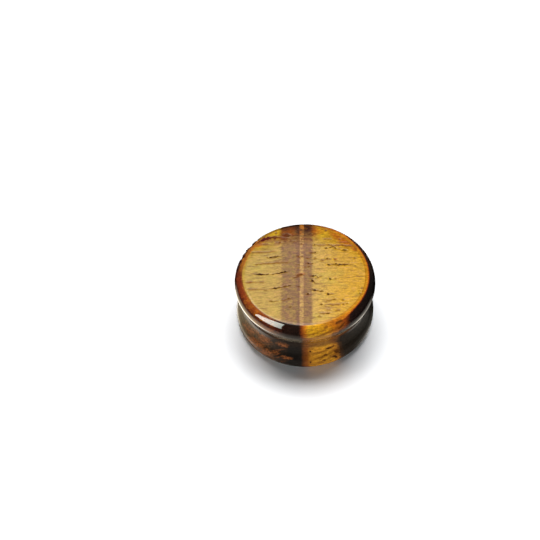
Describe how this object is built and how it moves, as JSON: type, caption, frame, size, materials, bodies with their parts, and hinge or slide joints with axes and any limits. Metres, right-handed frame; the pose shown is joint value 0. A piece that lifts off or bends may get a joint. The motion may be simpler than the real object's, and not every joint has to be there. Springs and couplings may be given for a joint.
{
  "type": "ear plug gauge",
  "caption": "Double flared saddle ear plug of polished banded stone, worn in a stretched ear lobe.",
  "frame": {"origin": "centre of the lower flat face, on which the plug lies", "axes": "+Z along the plug's axis, from the lower face to the upper one; +X along the fibres of the stone, to the right in the picture; -Y towards the viewer"},
  "size_m": [0.0244, 0.0244, 0.0118],
  "materials": {
    "banded_stone": "mirror polished banded golden and brown stone"
  },
  "bodies": {
    "root": {"stone_plug": "banded_stone"}
  },
  "joints": []
}
